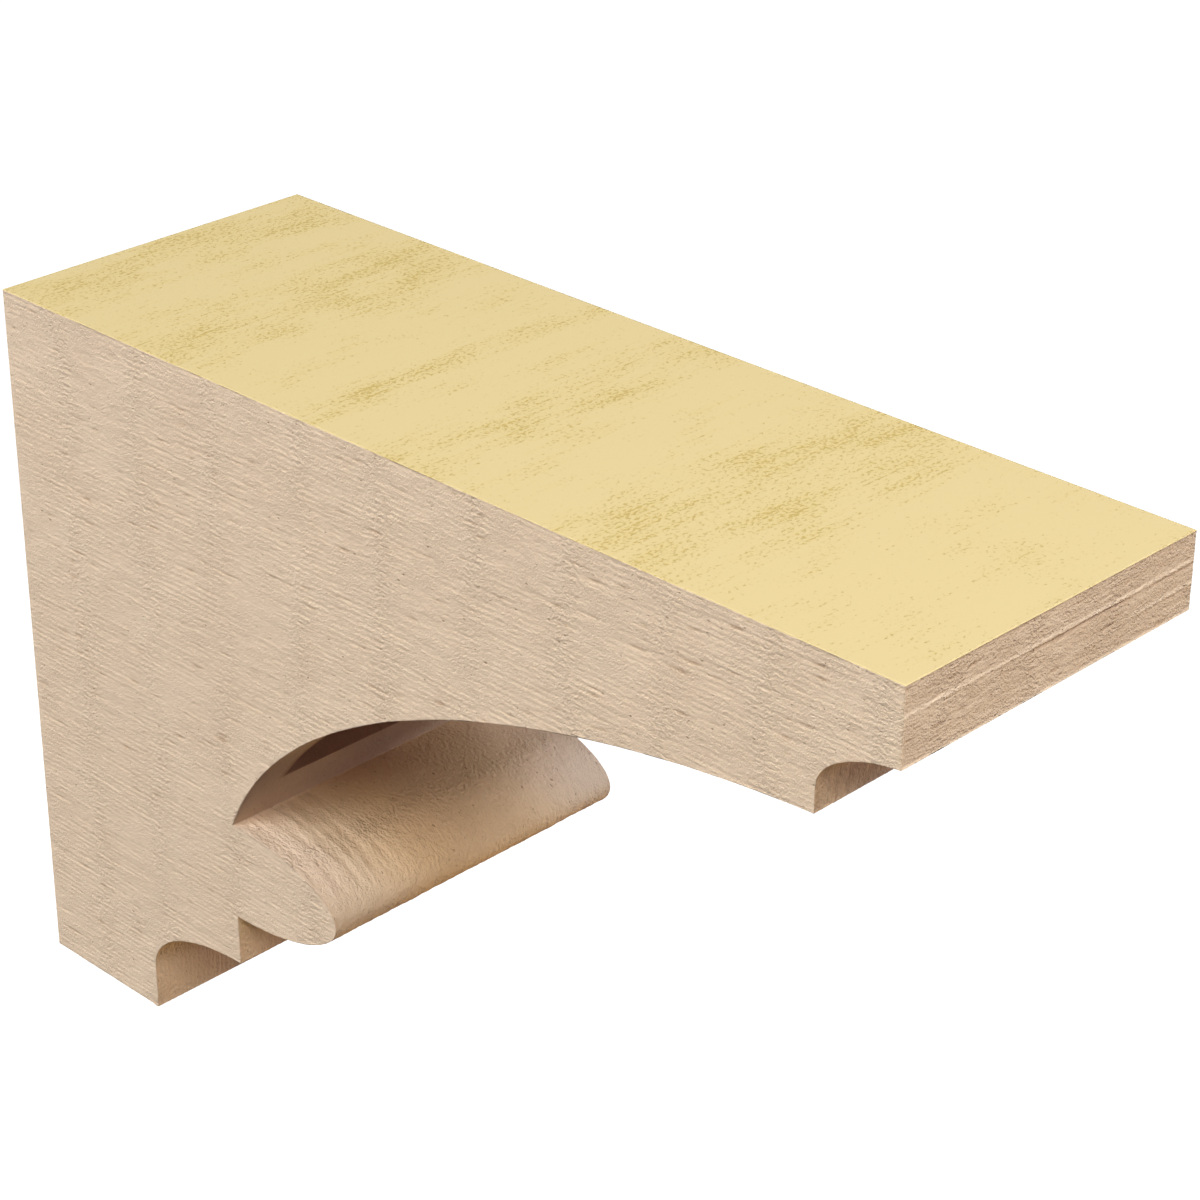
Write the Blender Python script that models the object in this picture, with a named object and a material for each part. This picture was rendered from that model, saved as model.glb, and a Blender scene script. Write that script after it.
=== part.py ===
"""A polyurethane corbel: one moulded bracket that is glued and screwed to a wall under a shelf or an eave.

Its side outline is a long arm over a deep vault, with a rounded lobe, a step and a cove below it.
The vault has a recess let into it between two side rails.

Axes: +X points out from the wall, +Y runs across the corbel and +Z is up.
The origin is the centre of the wall face. Lengths are in metres.
"""

import math
from dataclasses import dataclass

import bmesh
import bpy

MM = 0.001

# Overall sizes
PROJECTION = 457.2 * MM
HEIGHT = 304.8 * MM
WIDTH = 152.4 * MM

# Foot, from the underside up: a plain front, then a cove out to the step face
FOOT_DEPTH = 68.9 * MM
FOOT_FRONT_HEIGHT = 21.2 * MM
FOOT_COVE_RUN = 57.0 * MM
FOOT_COVE_RISE = 27.2 * MM
STEP_HEIGHT = 22.4 * MM

# Lobe, which stands out from the step face as half an ellipse
LOBE_REACH = 60.0 * MM
LOBE_THICKNESS = 43.0 * MM

# Arm, from the front face back: the front, a cove and the lip where the vault ends
FRONT_HEIGHT = 30.2 * MM
FRONT_COVE_RUN = 34.2 * MM
FRONT_COVE_RISE = 19.6 * MM
LIP_HEIGHT = 10.1 * MM

# Which stretch of an ellipse each curve is: 180 is a plumb start and 90 a level end
VAULT_FROM, VAULT_TO = 168.7, 97.0
FRONT_COVE_FROM, FRONT_COVE_TO = 180.0, 101.7
FOOT_COVE_FROM, FOOT_COVE_TO = 180.0, 90.0

# Recess let into the vault, square to its surface
RECESS_DEPTH = 19.0 * MM
RECESS_SIDE_RAIL = 19.0 * MM
RECESS_BACK_RAIL = 10.8 * MM
RECESS_FRONT_RAIL = 38.0 * MM

# How finely the curves are cut into flats
VAULT_STEPS = 48
COVE_STEPS = 14
LOBE_STEPS = 18

WELD = 0.00001
SHARP_ANGLE = math.radians(25)


@dataclass
class EllipticArc:
    """The stretch of an upright ellipse between two angles, fitted so that it joins two given points."""

    start: tuple
    end: tuple
    from_deg: float
    to_deg: float

    def __post_init__(self):
        first, last = math.radians(self.from_deg), math.radians(self.to_deg)
        self.half_x = (self.end[0] - self.start[0]) / (math.cos(last) - math.cos(first))
        self.half_z = (self.end[1] - self.start[1]) / (math.sin(last) - math.sin(first))
        self.centre_x = self.start[0] - self.half_x * math.cos(first)
        self.centre_z = self.start[1] - self.half_z * math.sin(first)

    def angle_at(self, x):
        """The angle where the upper half of the ellipse stands at x."""
        return math.degrees(math.acos((x - self.centre_x) / self.half_x))

    def point(self, degrees, outwards=0.0):
        """The point at an angle, moved outwards square to the curve."""
        c, s = math.cos(math.radians(degrees)), math.sin(math.radians(degrees))
        normal_x, normal_z = c * self.half_z, s * self.half_x
        length = math.hypot(normal_x, normal_z)
        return (
            self.centre_x + self.half_x * c + outwards * normal_x / length,
            self.centre_z + self.half_z * s + outwards * normal_z / length,
        )

    def points(self, steps, from_deg=None, to_deg=None, outwards=0.0):
        """Evenly turned points from one angle to the other, both ends included."""
        first = self.from_deg if from_deg is None else from_deg
        last = self.to_deg if to_deg is None else to_deg
        return [self.point(first + (last - first) * i / steps, outwards) for i in range(steps + 1)]


# Levels and distances that follow from the sizes
TOP = HEIGHT / 2
UNDERSIDE = -HEIGHT / 2
STEP_FACE = FOOT_DEPTH + FOOT_COVE_RUN
LIP = PROJECTION - FRONT_COVE_RUN
FOOT_COVE_START = UNDERSIDE + FOOT_FRONT_HEIGHT
STEP_BOTTOM = FOOT_COVE_START + FOOT_COVE_RISE
LOBE_BOTTOM = STEP_BOTTOM + STEP_HEIGHT
LOBE_MIDDLE = LOBE_BOTTOM + LOBE_THICKNESS / 2
LOBE_TOP = LOBE_BOTTOM + LOBE_THICKNESS
NOSE = STEP_FACE + LOBE_REACH
FRONT_BOTTOM = TOP - FRONT_HEIGHT
FRONT_COVE_START = FRONT_BOTTOM - FRONT_COVE_RISE
LIP_BOTTOM = FRONT_COVE_START - LIP_HEIGHT

VAULT = EllipticArc((STEP_FACE, LOBE_TOP), (LIP, LIP_BOTTOM), VAULT_FROM, VAULT_TO)
FOOT_COVE = EllipticArc(
    (FOOT_DEPTH, FOOT_COVE_START), (STEP_FACE, STEP_BOTTOM), FOOT_COVE_FROM, FOOT_COVE_TO
)
FRONT_COVE = EllipticArc(
    (LIP, FRONT_COVE_START), (PROJECTION, FRONT_BOTTOM), FRONT_COVE_FROM, FRONT_COVE_TO
)
LOBE_UNDER = EllipticArc((STEP_FACE, LOBE_BOTTOM), (NOSE, LOBE_MIDDLE), -90.0, 0.0)
LOBE_OVER = EllipticArc((NOSE, LOBE_MIDDLE), (STEP_FACE, LOBE_TOP), 0.0, 90.0)


def clear_scene():
    """Removes every object and the collections made by an earlier run."""
    for obj in list(bpy.data.objects):
        bpy.data.objects.remove(obj, do_unlink=True)
    for collection in list(bpy.data.collections):
        bpy.data.collections.remove(collection)


def collection_named(name):
    """A new collection in the scene."""
    collection = bpy.data.collections.new(name)
    bpy.context.scene.collection.children.link(collection)
    return collection


def material(name, colour, roughness):
    """A plain Principled material with no metal in it."""
    made = bpy.data.materials.new(name)
    made.use_nodes = True
    shader = made.node_tree.nodes["Principled BSDF"]
    shader.inputs["Base Color"].default_value = (*colour, 1.0)
    shader.inputs["Roughness"].default_value = roughness
    shader.inputs["Metallic"].default_value = 0.0
    return made


def side_outline():
    """The side outline as (x, z) points, from the top of the wall face, down and round to the front."""
    points = [(0.0, TOP), (0.0, UNDERSIDE), (FOOT_DEPTH, UNDERSIDE)]
    points += FOOT_COVE.points(COVE_STEPS)
    points += LOBE_UNDER.points(LOBE_STEPS)
    points += LOBE_OVER.points(LOBE_STEPS)[1:-1]
    points += VAULT.points(VAULT_STEPS)
    points += FRONT_COVE.points(COVE_STEPS)
    points += [(PROJECTION, TOP)]
    return points


def recess_outline():
    """The recess's side outline: a band from just outside the vault to the recess's ceiling."""
    back = VAULT.angle_at(STEP_FACE + RECESS_BACK_RAIL)
    front = VAULT.angle_at(LIP - RECESS_FRONT_RAIL)
    outside = VAULT.points(VAULT_STEPS, back, front, outwards=-RECESS_DEPTH / 4)
    ceiling = VAULT.points(VAULT_STEPS, back, front, outwards=RECESS_DEPTH)
    return outside + ceiling[::-1]


def slab(name, outline, width, collection):
    """A closed mesh object: a side outline drawn across the corbel to a width, centred on the origin."""
    curve = bpy.data.curves.new(name, "CURVE")
    curve.dimensions = "2D"
    curve.fill_mode = "BOTH"
    curve.extrude = width / 2
    spline = curve.splines.new("POLY")
    spline.points.add(len(outline) - 1)
    for point, (x, z) in zip(spline.points, outline):
        point.co = (x, z, 0.0, 1.0)
    spline.use_cyclic_u = True
    flat = bpy.data.objects.new(name + "_outline", curve)
    flat.rotation_euler = (math.pi / 2, 0.0, 0.0)
    collection.objects.link(flat)

    bpy.context.view_layer.update()
    graph = bpy.context.evaluated_depsgraph_get()
    mesh = bpy.data.meshes.new_from_object(flat.evaluated_get(graph))
    obj = bpy.data.objects.new(name, mesh)
    obj.matrix_world = flat.matrix_world.copy()
    collection.objects.link(obj)
    bpy.data.objects.remove(flat, do_unlink=True)
    bpy.data.curves.remove(curve)

    shape = bmesh.new()
    shape.from_mesh(mesh)
    bmesh.ops.remove_doubles(shape, verts=shape.verts, dist=WELD)
    bmesh.ops.recalc_face_normals(shape, faces=shape.faces)
    shape.to_mesh(mesh)
    shape.free()
    mesh.name = name
    return obj


def paint(obj, primed, bare_foam):
    """Bare foam on the two faces that are glued, the top and the wall face, and primer on the rest."""
    mesh = obj.data
    mesh.materials.append(primed)
    mesh.materials.append(bare_foam)
    for face in mesh.polygons:
        centre = obj.matrix_world @ face.center
        glued = centre.x < WELD or centre.z > TOP - WELD
        face.material_index = 1 if glued else 0


def cut(obj, cutter):
    """Takes the cutter's shape out of the object, and keeps the cutter as a wire guide."""
    cutter.display_type = "WIRE"
    cutter.hide_render = True
    boolean = obj.modifiers.new("cut_" + cutter.name, "BOOLEAN")
    boolean.operation = "DIFFERENCE"
    boolean.solver = "EXACT"
    boolean.object = cutter


def make_corbel(parts, cutters):
    """The whole corbel, moulded in one piece."""
    corbel = slab("corbel", side_outline(), WIDTH, parts)
    paint(
        corbel,
        material("primed_rough_sawn_face", (0.68, 0.51, 0.37), 0.75),
        material("bare_polyurethane_foam", (0.84, 0.67, 0.35), 0.85),
    )
    corbel.data.shade_smooth()
    corbel.data.set_sharp_from_angle(angle=SHARP_ANGLE)
    recess = slab("vault_recess", recess_outline(), WIDTH - 2 * RECESS_SIDE_RAIL, cutters)
    cut(corbel, recess)
    return corbel


def main():
    clear_scene()
    make_corbel(collection_named("corbel"), collection_named("cutters"))


main()
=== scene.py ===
"""Looks of the polyurethane corbel: a moulding with rough-sawn, primed faces and bare foam where it is glued.

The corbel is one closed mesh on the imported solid's sizes, with finer curves. Its saw marks, grain and
flecks are real relief. A Geometry Nodes tree presses them inwards, so nothing stands outside the solid.
"""

import logging
import math
from dataclasses import dataclass, field
from enum import Enum
from typing import NamedTuple

import bmesh
import bpy
import numpy as np
from mathutils import Matrix, Vector
from mathutils.kdtree import KDTree


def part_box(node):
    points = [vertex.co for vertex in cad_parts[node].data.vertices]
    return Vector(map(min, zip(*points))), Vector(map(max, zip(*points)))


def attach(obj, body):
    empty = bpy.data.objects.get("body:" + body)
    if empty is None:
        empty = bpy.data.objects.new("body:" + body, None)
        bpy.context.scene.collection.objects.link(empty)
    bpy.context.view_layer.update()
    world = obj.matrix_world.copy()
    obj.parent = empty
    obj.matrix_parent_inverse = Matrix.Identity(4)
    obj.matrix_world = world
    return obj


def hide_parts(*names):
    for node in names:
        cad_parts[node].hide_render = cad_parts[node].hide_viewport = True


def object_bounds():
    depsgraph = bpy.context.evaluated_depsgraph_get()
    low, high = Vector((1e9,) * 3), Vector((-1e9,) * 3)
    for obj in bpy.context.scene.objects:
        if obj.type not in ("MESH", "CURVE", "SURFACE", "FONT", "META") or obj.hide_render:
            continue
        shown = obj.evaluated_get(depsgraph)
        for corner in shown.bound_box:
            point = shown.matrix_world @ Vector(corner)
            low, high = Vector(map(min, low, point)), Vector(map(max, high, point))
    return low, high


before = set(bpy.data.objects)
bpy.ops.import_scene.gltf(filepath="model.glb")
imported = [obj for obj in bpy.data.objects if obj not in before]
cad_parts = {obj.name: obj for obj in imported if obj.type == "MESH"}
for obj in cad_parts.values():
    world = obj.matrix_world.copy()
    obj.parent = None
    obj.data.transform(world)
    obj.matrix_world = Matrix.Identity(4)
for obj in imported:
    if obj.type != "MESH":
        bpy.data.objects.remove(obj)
CAD_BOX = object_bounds()

LOG = logging.getLogger("corbel")
MM = 0.001
OUT = Vector((1.0, 0.0, 0.0))
UP = Vector((0.0, 0.0, 1.0))

# Edges of the recess stay sharp past this angle, and the outline has a corner past this sine of its turn.
SHARP_ANGLE = math.radians(40.0)
SHARP_TURN = 0.5

# What stands for a vertex that is off the outline, and for one that is off the front face.
OFF_OUTLINE = -1.0
OFF_FRONT = -1.0

# How many points an arc is measured with: the whole arc, and its stretch up to a given x.
ARC_POINTS = 2000
REACH_POINTS = 400

# The node of every finish, its index of refraction and how strong each finer layer of noise is.
SHADER = "Principled BSDF"
FOAM_IOR = 1.5
FINER_LAYERS = 0.55

Span = tuple[float, float]
Term = bpy.types.NodeSocket | float


def linear(hex_colour: str) -> tuple[float, float, float, float]:
    """Turns an sRGB hex colour to the linear RGBA that a shader takes.

    Args:
        hex_colour: Six hex digits, such as "d7be9f".

    Returns:
        Red, green, blue and an alpha of 1.
    """
    parts = [int(hex_colour[i : i + 2], 16) / 255 for i in (0, 2, 4)]
    made = [c / 12.92 if c <= 0.04045 else ((c + 0.055) / 1.055) ** 2.4 for c in parts]
    return (*made, 1.0)


def add(tree: bpy.types.NodeTree, kind: str, settings: dict | None = None,
        inputs: dict | None = None) -> bpy.types.Node:
    """Adds one node to a tree.

    Args:
        tree: A shader or geometry node tree.
        kind: The node's type name.
        settings: The node's own properties.
        inputs: What each input gets, by name or place: a socket to link, or a value.

    Returns:
        The new node.
    """
    node = tree.nodes.new(kind)
    for name, value in (settings or {}).items():
        setattr(node, name, value)
    for key, value in (inputs or {}).items():
        if isinstance(value, bpy.types.NodeSocket):
            tree.links.new(value, node.inputs[key])
        else:
            node.inputs[key].default_value = value
    return node


def matt(name: str, roughness: float, specular: float) -> bpy.types.Material:
    """Makes a dull material, ready for its colour and its bump.

    Args:
        name: The material's name.
        roughness: How rough the surface is, from 0 to 1.
        specular: How strong its highlights are, where 0.5 is as usual.

    Returns:
        The material, with its shader set.
    """
    made = bpy.data.materials.new(name)
    made.use_nodes = True
    inputs = made.node_tree.nodes[SHADER].inputs
    inputs["Roughness"].default_value = roughness
    inputs["IOR"].default_value = FOAM_IOR
    inputs["Specular IOR Level"].default_value = specular
    return made


@dataclass(frozen=True)
class Ramp:
    """A smooth rise along a line, from 0 at its start to 1 at its end, in metres."""

    start: float
    end: float

    def at(self, place: float) -> float:
        """Reads the rise.

        Args:
            place: Where on the line.

        Returns:
            0 before the start, 1 past the end and a smooth rise between them.
        """
        share = min(1.0, max(0.0, (place - self.start) / (self.end - self.start)))
        return share * share * (3.0 - 2.0 * share)


def ramp(start: float, end: float) -> Ramp:
    """Sets a ramp out in millimetres.

    Args:
        start: Where it leaves 0.
        end: Where it reaches 1.

    Returns:
        The ramp, in metres.
    """
    return Ramp(start * MM, end * MM)


class Texture(NamedTuple):
    """A noise: the size of its marks or that size's input, which one it is, its finer layers and its rise."""

    size: Span | str
    seed: float
    detail: float = 1.0
    rise: Span | None = None


def texture(length: float, width: float, seed: float, detail: float, rise: Span | None = None) -> Texture:
    """Sets a texture out in millimetres.

    Args:
        length: How long a mark is.
        width: How wide it is.
        seed: Which noise it is.
        detail: How many finer layers it has.
        rise: Where it leaves 0 and reaches 1, if it isn't the noise itself.

    Returns:
        The texture, in metres.
    """
    return Texture((length * MM, width * MM), seed, detail, rise)


@dataclass
class Wiring:
    """The sums, noises and mixes that the relief and the finishes are made of, in one node tree."""

    tree: bpy.types.NodeTree

    def sum(self, operation: str, *terms: Term) -> bpy.types.NodeSocket:
        """One arithmetic step.

        Args:
            operation: The step's name, such as "ADD".
            terms: The sockets and numbers that it takes.

        Returns:
            The result.
        """
        return add(self.tree, "ShaderNodeMath", {"operation": operation}, dict(enumerate(terms))).outputs[0]

    def total(self, *terms: Term) -> bpy.types.NodeSocket:
        """The sum of any number of terms.

        Args:
            terms: The sockets and numbers to add up.

        Returns:
            The sum.
        """
        made = terms[0]
        for term in terms[1:]:
            made = self.sum("ADD", made, term)
        return made

    def rise(self, term: Term, low: Term, high: Term) -> bpy.types.NodeSocket:
        """A smooth rise from 0 to 1.

        Args:
            term: What it depends on.
            low: Where it leaves 0.
            high: Where it reaches 1.

        Returns:
            The risen value.
        """
        inputs = {"Value": term, "From Min": low, "From Max": high}
        return add(self.tree, "ShaderNodeMapRange", {"interpolation_type": "SMOOTHSTEP"}, inputs).outputs[0]

    def noise(self, place: bpy.types.NodeSocket, size: Span | bpy.types.NodeSocket, seed: Term,
              detail: float) -> bpy.types.NodeSocket:
        """Noise that may be drawn out along its first axis.

        Args:
            place: Where it is read, in metres.
            size: The length and width of one mark, in metres.
            seed: Which noise it is.
            detail: How many finer layers it has.

        Returns:
            A value about 0.5, mostly between 0.25 and 0.75.
        """
        size = size if isinstance(size, bpy.types.NodeSocket) else (*size, size[1])
        inputs = {0: place, 1: size}
        scaled = add(self.tree, "ShaderNodeVectorMath", {"operation": "DIVIDE"}, inputs).outputs[0]
        inputs = {"Vector": scaled, "W": seed, "Scale": 1.0, "Detail": detail, "Roughness": FINER_LAYERS}
        return add(self.tree, "ShaderNodeTexNoise", {"noise_dimensions": "4D"}, inputs).outputs[0]

    def textured(self, place: bpy.types.NodeSocket, chosen: Texture) -> bpy.types.NodeSocket:
        """Reads a texture whose size is in metres.

        Args:
            place: Where it is read, in metres.
            chosen: The texture.

        Returns:
            How far it has risen, or its noise if it has no rise.
        """
        made = self.noise(place, chosen.size, chosen.seed, chosen.detail)
        return self.rise(made, *chosen.rise) if chosen.rise else made

    def mix(self, share: Term, first: object, second: object) -> bpy.types.NodeSocket:
        """A colour between two. The node's colour sockets are known by their places.

        Args:
            share: 0 for the first and 1 for the second.
            first: A colour or a socket.
            second: A colour or a socket.

        Returns:
            The mixed colour.
        """
        inputs = {0: share, 6: first, 7: second}
        return add(self.tree, "ShaderNodeMix", {"data_type": "RGBA"}, inputs).outputs[2]

    def read(self, names: tuple[str, ...]) -> dict[str, bpy.types.NodeSocket]:
        """Reads values that the mesh carries.

        Args:
            names: The values' names.

        Returns:
            The values by name.
        """
        return {
            name: add(self.tree, "ShaderNodeAttribute", {"attribute_name": name}).outputs["Fac"]
            for name in names
        }

    def dress(self, colour: bpy.types.NodeSocket, height: bpy.types.NodeSocket) -> None:
        """Gives the tree's shader its colour and its bump.

        Args:
            colour: The surface's colour.
            height: How high its finest grain stands, in metres.
        """
        inputs = self.tree.nodes[SHADER].inputs
        bump = add(self.tree, "ShaderNodeBump", None, {"Strength": 1.0, "Distance": 1.0, "Height": height})
        self.tree.links.new(colour, inputs["Base Color"])
        self.tree.links.new(bump.outputs[0], inputs["Normal"])


class Zone(Enum):
    """Stretches of the corbel's surface, each with its own finish."""

    SIDE = 1
    WALL = 2
    UNDERSIDE = 3
    FOOT = 4
    STEP = 5
    LOBE = 6
    VAULT = 7
    RECESS = 8
    FRONT_COVE = 9
    FRONT = 10
    TOP = 11


class Grain(Enum):
    """Which way the saw marks of a zone run."""

    OUTWARDS = 1
    ACROSS = 2
    ALONG_OUTLINE = 3


# The mesh's values: how deep each kind of mark is, and what the primed skin reads.
MARKS = ("swell_depth", "wave_depth", "streak_depth", "fleck_depth", "rib_depth")
SKIN_VALUES = ("relief", "band", "crease", "yellower", "highlit", "painted_shadow", "coarse")


@dataclass(frozen=True)
class Sawing:
    """How a zone's mesh is divided and how deep its marks are, in metres."""

    step: float
    column: float
    grain: Grain
    swell: float = 0.0
    wave: float = 0.0
    streak: float = 0.0
    fleck: float = 0.0
    rib: float = 0.0
    coarse: float = 0.0
    bare: bool = False

    @property
    def depths(self) -> tuple[float, ...]:
        """The depths of the five kinds of mark."""
        return self.swell, self.wave, self.streak, self.fleck, self.rib


def sawing(step: float, column: float, grain: Grain, depths: tuple[float, ...] = (), coarse: float = 0.0,
           bare: bool = False) -> Sawing:
    """Sets one zone's sawing out in millimetres.

    Args:
        step: How far apart the mesh's rows are.
        column: How far apart its columns are.
        grain: Which way the marks run.
        depths: How deep the swell, wave, streak, fleck and rib are.
        coarse: How much coarser than the sides its finest grain is, as a share.
        bare: Whether the zone is bare foam.

    Returns:
        The zone's sawing, in metres.
    """
    return Sawing(step * MM, column * MM, grain, *(d * MM for d in depths), coarse=coarse, bare=bare)


SAWING = {
    Zone.SIDE: sawing(0.60, 4.5, Grain.OUTWARDS, (0.05, 0.13, 0.14, 0.46, 0.19)),
    Zone.WALL: sawing(5.0, 5.0, Grain.ACROSS, bare=True),
    Zone.UNDERSIDE: sawing(4.0, 4.0, Grain.ACROSS, (0.1, 0.1, 0.1)),
    Zone.FOOT: sawing(3.2, 0.8, Grain.ALONG_OUTLINE, (0.1, 0.1, 0.1, 0.0, 0.45), 0.4),
    Zone.STEP: sawing(2.2, 1.0, Grain.ALONG_OUTLINE, (0.1, 0.1, 0.2, 0.1), 0.7),
    Zone.LOBE: sawing(2.4, 1.0, Grain.ALONG_OUTLINE, (0.16, 0.42, 0.30, 0.26)),
    Zone.VAULT: sawing(3.5, 5.0, Grain.ALONG_OUTLINE, (0.1, 0.1)),
    Zone.RECESS: sawing(3.5, 5.0, Grain.ALONG_OUTLINE),
    Zone.FRONT_COVE: sawing(2.0, 1.0, Grain.ALONG_OUTLINE, (0.1, 0.2, 0.5, 0.25), 0.9),
    Zone.FRONT: sawing(0.50, 1.8, Grain.ACROSS, (0.06, 0.08, 0.09, 0.32)),
    Zone.TOP: sawing(4.5, 4.5, Grain.ACROSS, bare=True),
}


@dataclass
class EllipticArc:
    """The stretch of an upright ellipse between two angles, in degrees, that joins two points."""

    start: tuple[float, float]
    end: tuple[float, float]
    from_deg: float
    to_deg: float

    def __post_init__(self) -> None:
        """Works out the ellipse's centre and its half axes."""
        first, last = math.radians(self.from_deg), math.radians(self.to_deg)
        self.half_x = (self.end[0] - self.start[0]) / (math.cos(last) - math.cos(first))
        self.half_z = (self.end[1] - self.start[1]) / (math.sin(last) - math.sin(first))
        self.centre_x = self.start[0] - self.half_x * math.cos(first)
        self.centre_z = self.start[1] - self.half_z * math.sin(first)

    def at(self, degrees: np.ndarray) -> np.ndarray:
        """Finds points of the ellipse.

        Args:
            degrees: The angles of the points.

        Returns:
            One (x, z) row for each angle.
        """
        turn = np.radians(degrees)
        x = self.centre_x + self.half_x * np.cos(turn)
        z = self.centre_z + self.half_z * np.sin(turn)
        return np.stack([x, z], 1)

    def steps(self, degrees: np.ndarray) -> np.ndarray:
        """How far it is from each of an array of angles to the next."""
        return np.linalg.norm(np.diff(self.at(degrees), axis=0), axis=1)

    def length_to(self, x: float) -> float:
        """The arc's length from its start to where its upper half stands at x."""
        stop = math.degrees(math.acos((x - self.centre_x) / self.half_x))
        return float(self.steps(np.linspace(self.from_deg, stop, REACH_POINTS)).sum())

    def spaced(self, distances: np.ndarray) -> np.ndarray:
        """Finds points by their distance along the arc.

        Args:
            distances: The distances from its start.

        Returns:
            One (x, z) row for each distance.
        """
        angles = np.linspace(self.from_deg, self.to_deg, ARC_POINTS)
        run = np.concatenate([[0.0], np.cumsum(self.steps(angles))])
        return self.at(np.interp(distances, run, angles))

    @property
    def length(self) -> float:
        """The arc's whole length."""
        return float(self.steps(np.linspace(self.from_deg, self.to_deg, ARC_POINTS)).sum())

    def outward(self, x: float, z: float) -> Vector:
        """The direction square to the ellipse at a point on it, away from its centre."""
        out, up = (x - self.centre_x) / self.half_x**2, (z - self.centre_z) / self.half_z**2
        return Vector((out, 0.0, up)).normalized()


@dataclass
class Line:
    """A straight stretch of the outline."""

    start: tuple[float, float]
    end: tuple[float, float]

    @property
    def length(self) -> float:
        """The line's length."""
        return math.dist(self.start, self.end)

    def spaced(self, distances: np.ndarray) -> np.ndarray:
        """The points at an array of distances along the line."""
        share = (distances / self.length)[:, None]
        return np.array(self.start) * (1 - share) + np.array(self.end) * share


class Row(NamedTuple):
    """A point of the side outline: where it is, its distance along the outline and the zone after it."""

    x: float
    z: float
    path: float
    zone: Zone


class Sheet(NamedTuple):
    """A divided flat side: its points, its faces, the point of each row and those between two rows."""

    places: list[Vector]
    faces: list[list[int]]
    corners: list[int]
    between: list[list[int]]


@dataclass(frozen=True)
class PaintedLightAndWrinkles:
    """Where the lobe is wrinkled or yellower, where highlight and shadow are painted, and how much, as
    shares.

    Ramps across the corbel start from its middle, with its near end on the minus side. The others run out
    from the step face, or up from the lobe's middle level. Its back starts there, and is whole a share of its
    thickness higher.
    """

    step_face: float
    lobe_level: float
    lobe_thickness: float
    back: float = 0.4
    nose: Ramp = ramp(28.0, 54.0)
    wrinkled: Ramp = ramp(-14.0, -40.0)
    least_wrinkles: float = 0.12
    yellow_middle: float = 4.0 * MM
    yellow: Ramp = ramp(66.0, 20.0)
    # Painted highlight on the lobe's back, where light falls in under the arm at its near and far ends.
    near_highlight: Ramp = ramp(-46.0, -70.0)
    near_highlight_share: float = 0.40
    far_highlight: Ramp = ramp(5.0, 65.0)
    far_highlight_share: float = 0.27
    # Painted shadow where shade falls: the vault's near rail, the front cove's near end, the lobe's far root
    # and under its nose.
    rail_shadow: Ramp = ramp(-35.0, -65.0)
    rail_share: float = 0.45
    cove_shadow: Ramp = ramp(-40.0, -70.0)
    cove_share: float = 0.12
    lobe_shadow: Ramp = ramp(-5.0, 45.0)
    root_share: float = 0.5
    underside: Ramp = ramp(3.0, -7.0)
    underside_share: float = 0.3

    def upper(self, place: Vector) -> float:
        """How far up the lobe's back a place is: 0 at the nose and below it, and 1 well above."""
        return Ramp(0.0, self.back * self.lobe_thickness).at(place.z - self.lobe_level)

    def outer(self, place: Vector) -> float:
        """How far out on the lobe a place is: 0 beside the step face and 1 near the nose."""
        return self.nose.at(place.x - self.step_face)

    def wrinkles(self, place: Vector) -> float:
        """How strong the lobe's wrinkles are: strong on its back beside its near end and faint elsewhere."""
        more = 1.0 - self.least_wrinkles
        return self.least_wrinkles + more * self.wrinkled.at(place.y) * self.upper(place)

    def yellowness(self, place: Vector) -> float:
        """How much yellower the lobe is: most in its middle."""
        return self.yellow.at(abs(place.y - self.yellow_middle))

    def painted_highlight(self, place: Vector) -> float:
        """How much painted highlight lies on the lobe's back, where light falls in under the arm: much at its
        near end and some at its far end.
        """
        far = self.far_highlight_share * self.far_highlight.at(place.y) * self.outer(place)
        return self.upper(place) * (self.near_highlight_share * self.near_highlight.at(place.y) + far)

    def shadow(self, zone: Zone, place: Vector) -> float:
        """How much painted shadow darkens the primer.

        Args:
            zone: The stretch of surface.
            place: A place on it.

        Returns:
            1 in the recess, part at the near rail, in the front cove and at the lobe's far root, or else 0.
        """
        # Painted shadow: the whole recess is painted dark as if in shade.
        if zone is Zone.RECESS:
            return 1.0
        if zone is Zone.VAULT:
            return self.rail_share * self.rail_shadow.at(place.y)
        if zone is Zone.FRONT_COVE:
            return self.cove_share * self.cove_shadow.at(place.y)
        if zone is Zone.LOBE:
            root = self.root_share * (1.0 - self.outer(place)) * self.upper(place)
            under = self.underside_share * self.underside.at(place.z - self.lobe_level)
            return self.lobe_shadow.at(place.y) * max(root, under)
        return 0.0


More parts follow.
